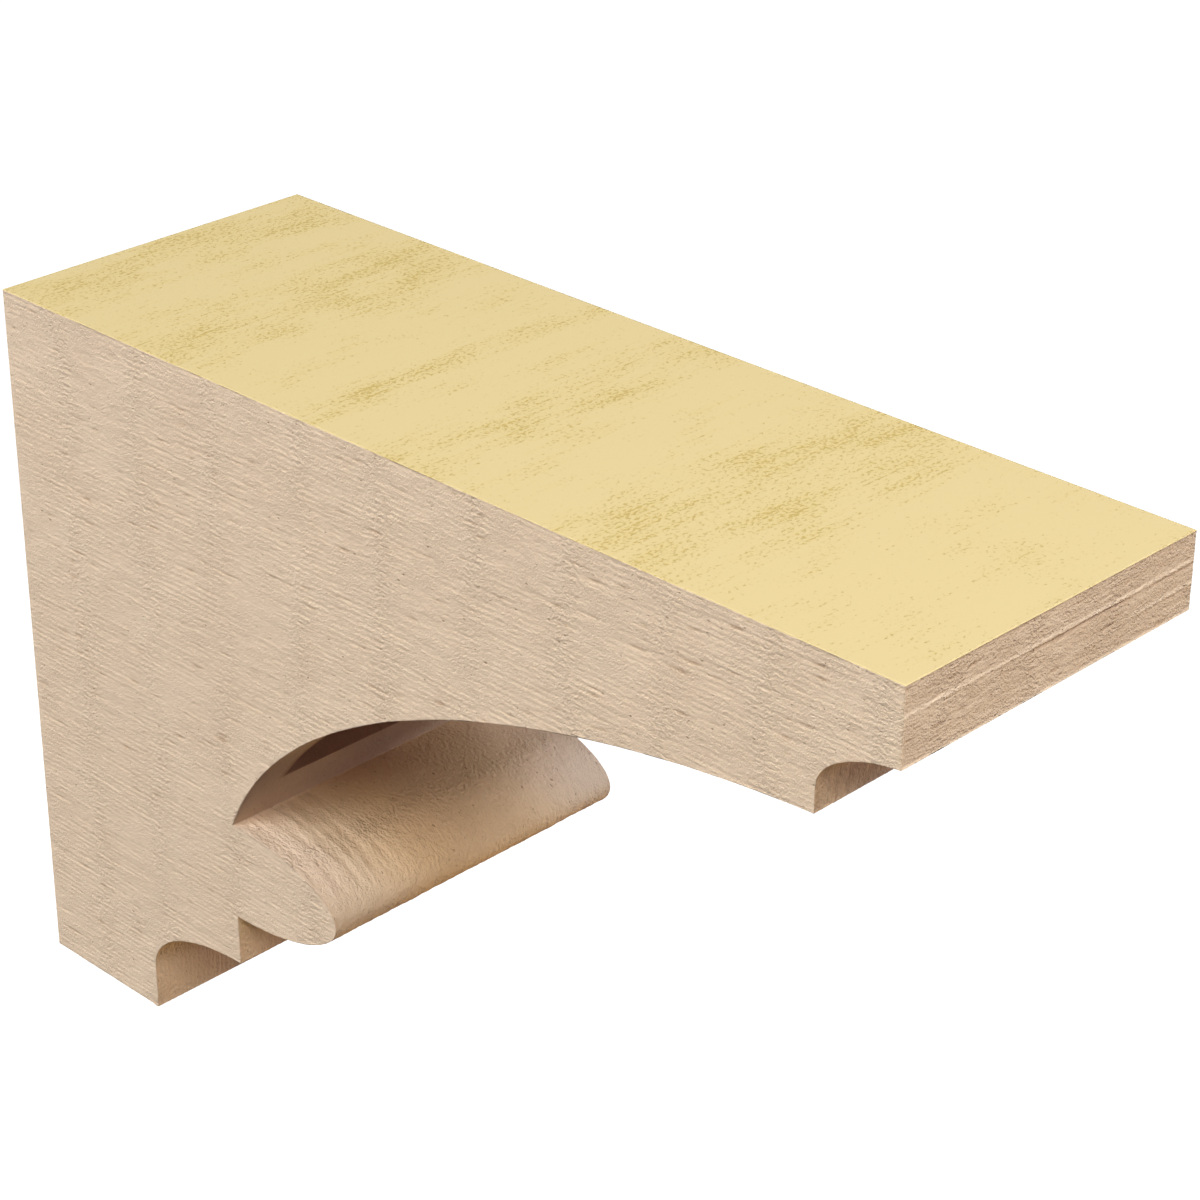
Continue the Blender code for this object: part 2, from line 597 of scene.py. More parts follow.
@dataclass
class CorbelBody:
    """The whole moulding: a side outline carried across the corbel, with a recess let into its vault."""

    low: Vector
    high: Vector
    foot_depth: float = 68.9 * MM
    foot_front_height: float = 21.2 * MM
    foot_cove_run: float = 57.0 * MM
    foot_cove_rise: float = 27.2 * MM
    step_height: float = 22.4 * MM
    lobe_reach: float = 60.0 * MM
    lobe_thickness: float = 43.0 * MM
    front_height: float = 30.2 * MM
    front_cove_run: float = 34.2 * MM
    front_cove_rise: float = 19.6 * MM
    lip_height: float = 10.1 * MM
    foot_cove_turn: Span = (180.0, 90.0)
    lobe_lower_turn: Span = (-90.0, 0.0)
    lobe_upper_turn: Span = (0.0, 90.0)
    vault_turn: Span = (168.7, 97.0)
    front_cove_turn: Span = (180.0, 101.7)
    recess_depth: float = 19.0 * MM
    recess_side_rail: float = 19.0 * MM
    recess_back_rail: float = 10.8 * MM
    recess_front_rail: float = 38.0 * MM
    arris: float = 0.4 * MM
    hem: float = 1.0 * MM
    # How wide the painted shade along the creases above and below the lobe is.
    crease_width: float = 1.1 * MM
    snap: float = 0.04 * MM
    # Painted warm bounce light in the foot, step and front cove, as a share of the yellower colour.
    cove_painted_bounce: float = 0.3
    stretches: list[tuple[Zone, EllipticArc | Line]] = field(default_factory=list)

    def __post_init__(self) -> None:
        """Lays the outline out, stretch by stretch, from the top of the wall face down and round."""
        top, bottom, projection = self.high.z, self.low.z, self.high.x
        step_face = self.foot_depth + self.foot_cove_run
        cove_start = bottom + self.foot_front_height
        step_bottom = cove_start + self.foot_cove_rise
        lobe_bottom = step_bottom + self.step_height
        lobe_middle = lobe_bottom + self.lobe_thickness / 2
        lobe_top = lobe_bottom + self.lobe_thickness
        self.painted_light = PaintedLightAndWrinkles(step_face, lobe_middle, self.lobe_thickness)
        nose = (step_face + self.lobe_reach, lobe_middle)
        lip = projection - self.front_cove_run
        front_bottom = top - self.front_height
        front_cove_start = front_bottom - self.front_cove_rise
        lip_bottom = front_cove_start - self.lip_height
        self.vault = EllipticArc((step_face, lobe_top), (lip, lip_bottom), *self.vault_turn)
        self.recess_from = self.vault.length_to(step_face + self.recess_back_rail)
        self.recess_to = self.vault.length_to(lip - self.recess_front_rail)
        foot_cove = EllipticArc((self.foot_depth, cove_start), (step_face, step_bottom), *self.foot_cove_turn)
        front_cove = EllipticArc((lip, front_cove_start), (projection, front_bottom), *self.front_cove_turn)
        self.stretches = [
            (Zone.WALL, Line((0.0, top), (0.0, bottom))),
            (Zone.UNDERSIDE, Line((0.0, bottom), (self.foot_depth, bottom))),
            (Zone.FOOT, Line((self.foot_depth, bottom), (self.foot_depth, cove_start))),
            (Zone.FOOT, foot_cove),
            (Zone.STEP, Line((step_face, step_bottom), (step_face, lobe_bottom))),
            (Zone.LOBE, EllipticArc((step_face, lobe_bottom), nose, *self.lobe_lower_turn)),
            (Zone.LOBE, EllipticArc(nose, (step_face, lobe_top), *self.lobe_upper_turn)),
            (Zone.VAULT, self.vault),
            (Zone.FRONT_COVE, Line((lip, lip_bottom), (lip, front_cove_start))),
            (Zone.FRONT_COVE, front_cove),
            (Zone.FRONT, Line((projection, front_bottom), (projection, top))),
            (Zone.TOP, Line((projection, top), (0.0, top))),
        ]

    def clear(self, place: float, edges: list[float]) -> bool:
        """Whether a place is clear of all edges, by half an arris."""
        return all(abs(place - edge) > self.arris / 2 for edge in edges)

    def marks(self, index: int) -> np.ndarray:
        """Finds where the mesh has its rows along one stretch.

        Args:
            index: The stretch's place in the outline.

        Returns:
            The distances from its start, both ends included.
        """
        zone, curve = self.stretches[index]
        count = max(1, round(curve.length / SAWING[zone].step))
        even = np.linspace(0.0, curve.length, count + 1)
        extra = [self.recess_from, self.recess_to] if zone is Zone.VAULT else []
        if self.stretches[index - 1][0] is not zone:
            extra += [self.arris, self.hem]
        if self.stretches[(index + 1) % len(self.stretches)][0] is not zone:
            extra += [curve.length - self.arris, curve.length - self.hem]
        kept = [d for d in even if self.clear(d, extra) or d in (even[0], even[-1])]
        return np.unique(np.concatenate([kept, extra]))

    def outline(self) -> list[Row]:
        """Lists the mesh's rows.

        Returns:
            All rows round the side outline, each with the zone that follows it.
        """
        rows, run = [], 0.0
        for index, (zone, curve) in enumerate(self.stretches):
            distances = self.marks(index)[:-1]
            rows += [Row(x, z, run + d, zone) for d, (x, z) in zip(distances, curve.spaced(distances))]
            run += curve.length
        return rows

    def columns(self, zone: Zone) -> list[float]:
        """Finds where a zone is divided across the corbel.

        Args:
            zone: The zone.

        Returns:
            The places in rising order, without the two sides.
        """
        count = round((self.high.y - self.low.y) / SAWING[zone].column)
        even = np.linspace(self.low.y, self.high.y, count + 1)[1:-1]
        edges = [self.low.y + self.arris, self.low.y + self.hem]
        edges += [self.high.y - self.hem, self.high.y - self.arris]
        if zone is Zone.VAULT:
            edges += [self.low.y + self.recess_side_rail, self.high.y - self.recess_side_rail]
        return sorted([*(y for y in even if self.clear(y, edges)), *edges])

    def outwards(self, rows: list[Row]) -> tuple[np.ndarray, np.ndarray, np.ndarray]:
        """Which way is out of the body at each row, in the plane of the outline.

        Args:
            rows: All rows round the outline.

        Returns:
            The unit directions, the cosine of half the outline's turn at each row and the sine of the turn.
        """
        points = np.array([(row.x, row.z) for row in rows])
        ahead = np.roll(points, -1, 0) - points
        ahead /= np.linalg.norm(ahead, axis=1)[:, None]
        behind = np.roll(ahead, 1, 0)
        out = np.stack([ahead[:, 1] + behind[:, 1], -ahead[:, 0] - behind[:, 0]], 1)
        out /= np.linalg.norm(out, axis=1)[:, None]
        cosine = out[:, 0] * ahead[:, 1] - out[:, 1] * ahead[:, 0]
        turn = behind[:, 0] * ahead[:, 1] - behind[:, 1] * ahead[:, 0]
        return out, cosine, turn

    def creases(self, rows: list[Row]) -> list[int]:
        """The rows where the outline turns sharply back into the body, above and below the lobe."""
        return [int(index) for index in np.nonzero(self.outwards(rows)[2] < -SHARP_TURN)[0]]

    def inset(self, rows: list[Row]) -> tuple[np.ndarray, list[int]]:
        """The outline set in by the arris, so that the sides have a strip of even width beside it.

        Args:
            rows: All rows round the outline.

        Returns:
            The inner points, and for each row the inner point that it meets.
        """
        out, cosine, turn = self.outwards(rows)
        inner = np.array([(row.x, row.z) for row in rows]) - out * (self.arris / cosine)[:, None]
        meets = list(range(len(rows)))
        for index in np.nonzero(turn > SHARP_TURN)[0]:
            meets[index - 1] = meets[(index + 1) % len(rows)] = index
        kept = sorted(set(meets))
        order = {row: place for place, row in enumerate(kept)}
        return inner[kept], [order[row] for row in meets]

    def sheet(self, loop: np.ndarray) -> Sheet:
        """A flat sheet inside a closed loop, divided along level and plumb lines.

        Args:
            loop: The loop's points, as (x, z).

        Returns:
            The divided sheet.
        """
        shape = bmesh.new()
        edge_of = shape.edges.layers.int.new("edge")
        corners = [shape.verts.new((x, 0.0, z)) for x, z in loop]
        shape.faces.new(corners)
        for index, corner in enumerate(corners):
            shape.edges.get((corner, corners[(index + 1) % len(corners)]))[edge_of] = index + 1
        side = SAWING[Zone.SIDE]
        levels = np.arange(self.low.z + self.arris + side.step, self.high.z, side.step)
        plumbs = np.arange(self.arris + side.column, self.high.x, side.column)
        for normal, place in [*((UP, level) for level in levels), *((OUT, plumb) for plumb in plumbs)]:
            part = [*shape.verts, *shape.edges, *shape.faces]
            at = normal * float(place)
            bmesh.ops.bisect_plane(shape, geom=part, dist=self.snap, plane_co=at, plane_no=normal)
        shape.verts.index_update()
        between = [{} for _ in corners]
        for edge in shape.edges:
            if edge[edge_of]:
                index = edge[edge_of] - 1
                for vertex in edge.verts:
                    if vertex not in (corners[index], corners[(index + 1) % len(corners)]):
                        between[index][vertex.index] = (vertex.co - corners[index].co).length
        made = Sheet(
            [vertex.co.copy() for vertex in shape.verts],
            [[vertex.index for vertex in face.verts] for face in shape.faces],
            [corner.index for corner in corners],
            [sorted(found, key=found.get) for found in between],
        )
        shape.free()
        return made

    def add_side(self, shape: bmesh.types.BMesh, rows: list[Row], sheet: Sheet, meets: list[int],
                 rim: list[bmesh.types.BMVert]) -> None:
        """Closes one side of the shape with a copy of the sheet and the strip round it.

        Args:
            shape: The shape to add to.
            rows: All rows round the outline.
            sheet: The divided sheet.
            meets: For each row, the loop's point that it meets.
            rim: The shape's vertices along that side, one for each row.
        """
        zone_of = shape.faces.layers.int["zone"]
        path_of = shape.verts.layers.float["path"]
        inner = [shape.verts.new((place.x, rim[0].co.y, place.z)) for place in sheet.places]
        for vertex in inner:
            vertex[path_of] = OFF_OUTLINE
        faces = [shape.faces.new([inner[i] for i in face]) for face in sheet.faces]
        for index in range(len(rows)):
            following = (index + 1) % len(rows)
            first, last = meets[index], meets[following]
            ends = [inner[sheet.corners[last]]]
            if first != last:
                ends += [*(inner[i] for i in reversed(sheet.between[first])), inner[sheet.corners[first]]]
            faces.append(shape.faces.new([rim[index], rim[following], *ends]))
        for face in faces:
            face[zone_of] = Zone.SIDE.value

    def divided(self) -> bmesh.types.BMesh:
        """The closed shape, divided finely enough to carry its relief: two sides and the band between them.

        Returns:
            The shape. Its faces know their zone and its vertices their distance along the outline.
        """
        rows = self.outline()
        loop, meets = self.inset(rows)
        sheet = self.sheet(loop)
        shape = bmesh.new()
        zone_of = shape.faces.layers.int.new("zone")
        path_of = shape.verts.layers.float.new("path")
        lines = []
        for index, row in enumerate(rows):
            inner = {*self.columns(row.zone), *self.columns(rows[index - 1].zone)}
            places = [self.low.y, *sorted(inner), self.high.y]
            lines.append([(y, shape.verts.new((row.x, y, row.z))) for y in places])
            for _, vertex in lines[-1]:
                vertex[path_of] = row.path
        for index, row in enumerate(rows):
            stops = [self.low.y, *self.columns(row.zone), self.high.y]
            line, next_line = lines[index], lines[(index + 1) % len(rows)]
            for start, stop in zip(stops, stops[1:]):
                here = [vertex for y, vertex in line if start <= y <= stop]
                there = [vertex for y, vertex in next_line if start <= y <= stop]
                shape.faces.new([*here, *reversed(there)])[zone_of] = row.zone.value
        self.add_side(shape, rows, sheet, meets, [line[0][1] for line in lines])
        self.add_side(shape, rows, sheet, meets, [line[-1][1] for line in lines])
        self.sink_recess(shape, next(row.path for row in rows if row.zone is Zone.VAULT))
        for index in self.creases(rows):
            for (_, first), (_, last) in zip(lines[index], lines[index][1:]):
                shape.edges.get((first, last)).smooth = False
        bmesh.ops.recalc_face_normals(shape, faces=shape.faces)
        return shape

    def inwards(self, shape: bmesh.types.BMesh) -> np.ndarray:
        """Which way each vertex is pressed in: square to its face, and aslant on the arrises.

        Args:
            shape: The divided shape.

        Returns:
            One direction for each vertex.
        """
        rows = self.outline()
        out = self.outwards(rows)[0]
        paths = [row.path for row in rows]
        path_of = shape.verts.layers.float["path"]
        made = np.zeros((len(shape.verts), 3))
        for index, vertex in enumerate(shape.verts):
            if vertex[path_of] > OFF_OUTLINE / 2:
                made[index, ::2] = [-np.interp(vertex[path_of], paths, out[:, axis]) for axis in (0, 1)]
            if abs(vertex.co.y) > self.high.y - self.snap:
                made[index, 1] = -math.copysign(1.0, vertex.co.y)
        return made

    def sink_recess(self, shape: bmesh.types.BMesh, start: float) -> None:
        """Presses the middle of the vault in by the recess's depth, square to the vault.

        Args:
            shape: The shape, with its vault already divided.
            start: The vault's distance along the outline.
        """
        zone_of = shape.faces.layers.int["zone"]
        path_of = shape.verts.layers.float["path"]
        half = self.high.y - self.recess_side_rail
        region = []
        for face in shape.faces:
            if face[zone_of] != Zone.VAULT.value:
                continue
            along = sum(v[path_of] for v in face.verts) / len(face.verts) - start
            if self.recess_from < along < self.recess_to and abs(face.calc_center_median().y) < half:
                region.append(face)
        pushed = bmesh.ops.extrude_face_region(shape, geom=region)["geom"]
        bmesh.ops.delete(shape, geom=region, context="FACES")
        for vertex in (v for v in pushed if isinstance(v, bmesh.types.BMVert)):
            vertex.co += self.vault.outward(vertex.co.x, vertex.co.z) * self.recess_depth
            for face in vertex.link_faces:
                face[zone_of] = Zone.RECESS.value
        for edge in shape.edges:
            recessed = any(face[zone_of] == Zone.RECESS.value for face in edge.link_faces)
            edge.smooth = not (recessed and edge.calc_face_angle(0.0) > SHARP_ANGLE)

    def edge_gaps(self, shape: bmesh.types.BMesh) -> list[float]:
        """Each vertex's distance to the nearest arris of the side outline, or to the nearest side.

        Args:
            shape: The divided shape.

        Returns:
            One distance for each vertex, in metres.
        """
        dense = [
            point
            for _, curve in self.stretches
            for point in curve.spaced(np.arange(0.0, curve.length, self.arris / 2))
        ]
        tree = KDTree(len(dense))
        for index, (x, z) in enumerate(dense):
            tree.insert((x, 0.0, z), index)
        tree.balance()
        creases = [
            curve.start for index, (zone, curve) in enumerate(self.stretches)
            if self.stretches[index - 1][0] is not zone
        ]
        gaps = []
        for vertex in shape.verts:
            x, y, z = vertex.co
            aside = min(y - self.low.y, self.high.y - y)
            if aside < self.snap:
                gaps.append(tree.find((x, 0.0, z))[2])
            else:
                gaps.append(min(aside, *(math.dist((x, z), crease) for crease in creases)))
        return gaps

    def mesh(self) -> bpy.types.Mesh:
        """The divided shape as a mesh that carries what its relief and its finishes read.

        Returns:
            A mesh with the UV map "grain", in metres along and across the grain, the point values "edge_gap",
            "front_height", "crease", "yellowed", "dusty", "sunk", "coarse", "inwards" and a depth for each
            kind of mark, and the face value "bare".
        """
        shape = self.divided()
        zone_of = shape.faces.layers.int["zone"]
        path_of = shape.verts.layers.float["path"]
        grain = shape.loops.layers.uv.new("grain")
        zones = {zone.value: zone for zone in Zone}
        painted_light, wave = self.painted_light, MARKS.index("wave_depth")
        depths = np.zeros((len(shape.verts), len(MARKS)))
        heights = np.full(len(shape.verts), OFF_FRONT)
        tints = np.zeros((len(shape.verts), 2))
        painted_shadow, coarse = np.zeros(len(shape.verts)), np.zeros(len(shape.verts))
        shape.verts.index_update()
        for face in shape.faces:
            face.smooth = True
            zone = zones[face[zone_of]]
            direction = SAWING[zone].grain
            for corner in face.loops:
                vertex = corner.vert
                x, y, z = vertex.co
                path = x if zone is Zone.TOP else vertex[path_of]
                if direction is Grain.OUTWARDS:
                    corner[grain].uv = (x, z)
                elif direction is Grain.ACROSS:
                    corner[grain].uv = (y, path)
                else:
                    corner[grain].uv = (path, y)
                depths[vertex.index] = SAWING[zone].depths
                # The lobe's wrinkles, its yellower middle and its painted highlight.
                if zone is Zone.LOBE:
                    depths[vertex.index, wave] *= painted_light.wrinkles(vertex.co)
                    tints[vertex.index] = painted_light.yellowness(vertex.co), painted_light.painted_highlight(vertex.co)
                # The foot, step and front cove get painted warm bounce light.
                elif SAWING[zone].coarse:
                    tints[vertex.index] = self.cove_painted_bounce, 0.0
                # Painted shadow, kept at its strongest where zones meet.
                painted_shadow[vertex.index] = max(painted_shadow[vertex.index], painted_light.shadow(zone, vertex.co))
                coarse[vertex.index] = SAWING[zone].coarse
                if zone is Zone.FRONT:
                    heights[vertex.index] = (z - self.high.z) / self.front_height + 1.0
        gaps, inwards = self.edge_gaps(shape), self.inwards(shape)
        rows = self.outline()
        paths = np.array([v[path_of] for v in shape.verts])
        nearest = np.min([np.abs(paths - rows[index].path) for index in self.creases(rows)], axis=0)
        bare = [SAWING[zones[f[zone_of]]].bare for f in shape.faces]
        made = bpy.data.meshes.new("corbel_body")
        shape.to_mesh(made)
        shape.free()
        values = dict(zip(MARKS, depths.T), edge_gap=np.array(gaps), front_height=heights)
        # Painted shade along the concave creases above and below the lobe.
        values["crease"] = np.clip(1.0 - nearest / self.crease_width, 0.0, 1.0)
        values |= {"yellower": tints[:, 0], "highlit": tints[:, 1], "painted_shadow": painted_shadow, "coarse": coarse}
        for name, column in values.items():
            made.attributes.new(name, "FLOAT", "POINT").data.foreach_set("value", column.astype(np.float32))
        made.attributes.new("inwards", "FLOAT_VECTOR", "POINT").data.foreach_set("vector", inwards.ravel())
        made.attributes.new("bare", "BOOLEAN", "FACE").data.foreach_set("value", bare)
        return made

    def build(self, relief: "SawnRelief", primed: bpy.types.Material,
              foam: bpy.types.Material) -> bpy.types.Object:
        """Makes the finished piece.

        Args:
            relief: The saw marks to press into it.
            primed: The material of its moulded faces.
            foam: The material of its bare faces.

        Returns:
            The object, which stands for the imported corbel.
        """
        piece = bpy.data.objects.new("corbel_body", self.mesh())
        bpy.context.scene.collection.objects.link(piece)
        relief.press_into(piece, primed, foam)
        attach(piece, "root")
        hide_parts("corbel")
        return piece


class Seam(NamedTuple):
    """A level line across the front, in shares of its height: where it is, its core and where it ends."""

    level: float
    core: float
    edge: float


@dataclass
class GrainWiring(Wiring):
    """The wiring of the relief's tree, which reads the mesh's values, and noises along the grain."""

    given: bpy.types.bpy_prop_collection

    def stored(self, name: str, kind: str = "FLOAT") -> bpy.types.NodeSocket:
        """Reads one of the mesh's named values."""
        inputs = {"Name": name}
        return add(self.tree, "GeometryNodeInputNamedAttribute", {"data_type": kind}, inputs).outputs[0]

    def along_grain(self, chosen: Texture) -> bpy.types.NodeSocket:
        """Reads a texture along the grain.

        Args:
            chosen: The texture, whose size is one of the tree's inputs.

        Returns:
            How far it has risen, or its noise if it has no rise.
        """
        seed = self.sum("ADD", self.given["Seed"], chosen.seed)
        made = self.noise(self.stored("grain", "FLOAT_VECTOR"), self.given[chosen.size], seed, chosen.detail)
        return self.rise(made, *chosen.rise) if chosen.rise else made


@dataclass
class SawnRelief:
    """Saw marks as relief: swells, waves, streaks, gouges and ribs, all pressed in from the surface.

    The front face also has an upper ridge, a lower one at its far end and a crack on its far half. A texture
    here names the tree's input that holds its size.
    """

    swell_size: Span = (48.0 * MM, 30.0 * MM)
    wave_size: Span = (30.0 * MM, 2.9 * MM)
    streak_size: Span = (9.0 * MM, 1.2 * MM)
    fleck_size: Span = (7.0 * MM, 1.7 * MM)
    band_pitch: float = 46.0 * MM
    rib_pitch: float = 2.35 * MM
    ridge_height: float = 0.40 * MM
    crack_depth: float = 0.5 * MM
    fade: float = 0.8 * MM
    wear: float = 0.14 * MM
    seed: float = 7.3
    swell: Texture = Texture("Swell Size", 3.0, 1.0, (0.25, 0.75))
    wave: Texture = Texture("Wave Size", 0.0, 1.5, (0.3, 0.7))
    streak: Texture = Texture("Streak Size", 11.0, 1.5, (0.25, 0.75))
    fleck: Texture = Texture("Fleck Size", 23.0, 0.5, (0.655, 0.75))
    band_bend: Texture = Texture("Swell Size", 31.0)
    band_sway: float = 0.5
    band_flank: Span = (0.30, 0.47)
    band_patch: Texture = Texture("Swell Size", 90.0, 1.0, (0.2, 0.5))
    front_band: float = 0.22
    band_streaks: float = 0.55
    plain_streaks: float = 0.85
    rib_bend: Texture = Texture("Swell Size", 40.0, 3.0)
    rib_wobble: float = 2.0
    rib_patch: Texture = Texture("Swell Size", 50.0, 1.0, (0.25, 0.55))
    level_bend: Texture = Texture("Wave Size", 60.0)
    level_drift: float = 0.07
    ridge: Seam = Seam(0.625, 0.0, 0.035)
    far_ridge: Seam = Seam(0.335, 0.0, 0.03)
    crack: Seam = Seam(0.580, 0.006, 0.026)
    crack_patch: Texture = Texture("Wave Size", 70.0, 1.0, (0.35, 0.55))
    ridge_share: float = 0.85
    far_half: Span = (-20.0 * MM, 5.0 * MM)
    far_end: Span = (35.0 * MM, 55.0 * MM)
    fade_start: float = -0.4 * MM
    worn_strip: float = 0.1 * MM

    def inputs(self, primed: bpy.types.Material, foam: bpy.types.Material) -> dict[str, object]:
        """What the tree's named inputs get.

        Args:
            primed: The material of the moulded faces.
            foam: The material of the bare faces.

        Returns:
            One value for each input.
        """
        sizes = {
            "Swell Size": self.swell_size, "Wave Size": self.wave_size, "Streak Size": self.streak_size,
            "Fleck Size": self.fleck_size,
        }
        made = {name: (*size, 1.0) for name, size in sizes.items()}
        made |= {"Band Pitch": self.band_pitch, "Rib Pitch": self.rib_pitch}
        made |= {"Ridge Height": self.ridge_height, "Crack Depth": self.crack_depth}
        made |= {"Fade": self.fade, "Wear": self.wear, "Seed": self.seed}
        return made | {"Primed": primed, "Bare Foam": foam}

    def bands(self, wiring: GrainWiring, along: Term, on_front: Term) -> bpy.types.NodeSocket:
        """Wires the upright bands of rougher chatter.

        Args:
            wiring: The tree's wiring.
            along: The distance along the grain.
            on_front: 1 on the front face and 0 elsewhere.

        Returns:
            1 in the middle of a band and 0 beside it.
        """
        sway = wiring.sum("MULTIPLY", wiring.along_grain(self.band_bend), self.band_sway)
        turn = wiring.sum("ADD", wiring.sum("DIVIDE", along, wiring.given["Band Pitch"]), sway)
        off_middle = wiring.sum("ABSOLUTE", wiring.sum("SUBTRACT", wiring.sum("FRACT", turn), 0.5))
        band = wiring.rise(off_middle, *self.band_flank)
        band = wiring.sum("MULTIPLY", band, wiring.along_grain(self.band_patch))
        return wiring.sum("MAXIMUM", band, wiring.sum("MULTIPLY", on_front, self.front_band))

    def ribs(self, wiring: GrainWiring, across: Term) -> bpy.types.NodeSocket:
        """Wires the fine ribs that the saw left.

        Args:
            wiring: The tree's wiring.
            across: The distance across the grain.

        Returns:
            A wave between 0 and 1, which dies out in patches.
        """
        wobble = wiring.sum("MULTIPLY", wiring.along_grain(self.rib_bend), self.rib_wobble)
        turn = wiring.sum("ADD", wiring.sum("DIVIDE", across, wiring.given["Rib Pitch"]), wobble)
        wave = wiring.sum("SINE", wiring.sum("MULTIPLY", turn, math.tau))
        rib = wiring.sum("MULTIPLY_ADD", wave, 0.5, 0.5)
        return wiring.sum("MULTIPLY", rib, wiring.along_grain(self.rib_patch))

    def front(self, wiring: GrainWiring, along: Term, height: Term, on_front: Term) -> bpy.types.NodeSocket:
        """Wires the ridges and the crack of the front face.

        Args:
            wiring: The tree's wiring.
            along: The distance along the grain, which runs across the front.
            height: How high a place is on the front, as a share.
            on_front: 1 on the front face and 0 elsewhere.

        Returns:
            How deep the front is pressed in between its ridges and in its crack.
        """
        drift = wiring.along_grain(self.level_bend)
        drift = wiring.sum("MULTIPLY_ADD", drift, self.level_drift, -self.level_drift / 2)
        level = wiring.sum("ADD", height, drift)

        def line(seam: Seam) -> bpy.types.NodeSocket:
            """A line across the front at one level, 1 in its middle."""
            gap = wiring.sum("ABSOLUTE", wiring.sum("SUBTRACT", level, seam.level))
            return wiring.sum("SUBTRACT", 1.0, wiring.rise(gap, seam.core, seam.edge))

        far_ridge = wiring.sum("MULTIPLY", line(self.far_ridge), wiring.rise(along, *self.far_end))
        ridge = wiring.sum("MAXIMUM", line(self.ridge), far_ridge)
        ridge = wiring.sum("MULTIPLY", ridge, self.ridge_share)
        broken = wiring.along_grain(self.crack_patch)
        crack = wiring.sum("MULTIPLY", broken, wiring.rise(along, *self.far_half))
        crack = wiring.sum("MULTIPLY", line(self.crack), crack)
        hollow = wiring.sum("SUBTRACT", on_front, ridge)
        lowered = wiring.sum("MULTIPLY", wiring.given["Ridge Height"], hollow)
        opened = wiring.sum("MULTIPLY", wiring.given["Crack Depth"], crack)
        return wiring.sum("MULTIPLY", wiring.sum("ADD", lowered, opened), on_front)

    def tree(self, inputs: dict[str, object]) -> bpy.types.NodeTree:
        """Builds the Geometry Nodes tree that presses the marks in and stores what the finishes read.

        Args:
            inputs: The tree's named inputs and their values.

        Returns:
            The tree.
        """
        tree = bpy.data.node_groups.new("sawn_relief", "GeometryNodeTree")
        tree.interface.new_socket("Geometry", in_out="INPUT", socket_type="NodeSocketGeometry")
        for name, value in inputs.items():
            kind = {tuple: "Vector", float: "Float"}.get(type(value), "Material")
            tree.interface.new_socket(name, in_out="INPUT", socket_type="NodeSocket" + kind)
        tree.interface.new_socket("Geometry", in_out="OUTPUT", socket_type="NodeSocketGeometry")
        given = add(tree, "NodeGroupInput").outputs
        wiring = GrainWiring(tree, given)
        grain = wiring.stored("grain", "FLOAT_VECTOR")
        along, across, _ = add(tree, "ShaderNodeSeparateXYZ", None, {0: grain}).outputs
        height = wiring.stored("front_height")
        on_front = wiring.sum("GREATER_THAN", height, OFF_FRONT / 2)
        band = self.bands(wiring, along, on_front)
        shapes = [wiring.along_grain(chosen) for chosen in (self.swell, self.wave, self.streak, self.fleck)]
        shapes.append(self.ribs(wiring, across))
        marks = {
            name: wiring.sum("MULTIPLY", shape, wiring.stored(name))
            for name, shape in zip(MARKS, shapes)
        }
        rough = wiring.sum("MULTIPLY_ADD", band, self.band_streaks, self.plain_streaks)
        marks["streak_depth"] = wiring.sum("MULTIPLY", marks["streak_depth"], rough)
        depth = wiring.total(*marks.values(), self.front(wiring, along, height, on_front))

        gap = wiring.stored("edge_gap")
        kept = wiring.sum("MULTIPLY", depth, wiring.rise(gap, self.fade_start, given["Fade"]))
        worn = wiring.sum("MULTIPLY", wiring.sum("LESS_THAN", gap, self.worn_strip), given["Wear"])
        inwards = add(
            tree, "ShaderNodeVectorMath", {"operation": "SCALE"},
            {0: wiring.stored("inwards", "FLOAT_VECTOR"), "Scale": wiring.sum("ADD", kept, worn)},
        ).outputs[0]
        inputs = {"Geometry": given["Geometry"], "Offset": inwards}
        geometry = add(tree, "GeometryNodeSetPosition", None, inputs)
        for name, value in {"relief": kept, "band": band}.items():
            geometry = add(
                tree, "GeometryNodeStoreNamedAttribute", {"data_type": "FLOAT", "domain": "POINT"},
                {"Geometry": geometry.outputs[0], "Name": name, "Value": value},
            )
        geometry = add(tree, "GeometryNodeRealizeInstances", None, {"Geometry": geometry.outputs[0]})
        for name, chosen in {"Primed": True, "Bare Foam": wiring.stored("bare", "BOOLEAN")}.items():
            geometry = add(
                tree, "GeometryNodeSetMaterial", None,
                {0: geometry.outputs[0], "Selection": chosen, "Material": given[name]},
            )
        add(tree, "NodeGroupOutput", None, {0: geometry.outputs[0]})
        return tree

    def press_into(self, piece: bpy.types.Object, primed: bpy.types.Material,
                   foam: bpy.types.Material) -> None:
        """Runs the tree on a piece and keeps the result as its mesh.

        Args:
            piece: The object to press the marks into.
            primed: The material of its moulded faces.
            foam: The material of its bare faces.
        """
        given = self.inputs(primed, foam)
        modifier = piece.modifiers.new("sawn_relief", "NODES")
        modifier.node_group = self.tree(given)
        for item in modifier.node_group.interface.items_tree:
            if item.in_out == "INPUT" and item.name in given:
                modifier[item.identifier] = given[item.name]
        bpy.context.view_layer.update()
        graph = bpy.context.evaluated_depsgraph_get()
        baked = bpy.data.meshes.new_from_object(
            piece.evaluated_get(graph), preserve_all_data_layers=True, depsgraph=graph,
        )
        piece.modifiers.remove(modifier)
        plain = piece.data
        piece.data = baked
        bpy.data.meshes.remove(plain)
        baked.name = piece.name


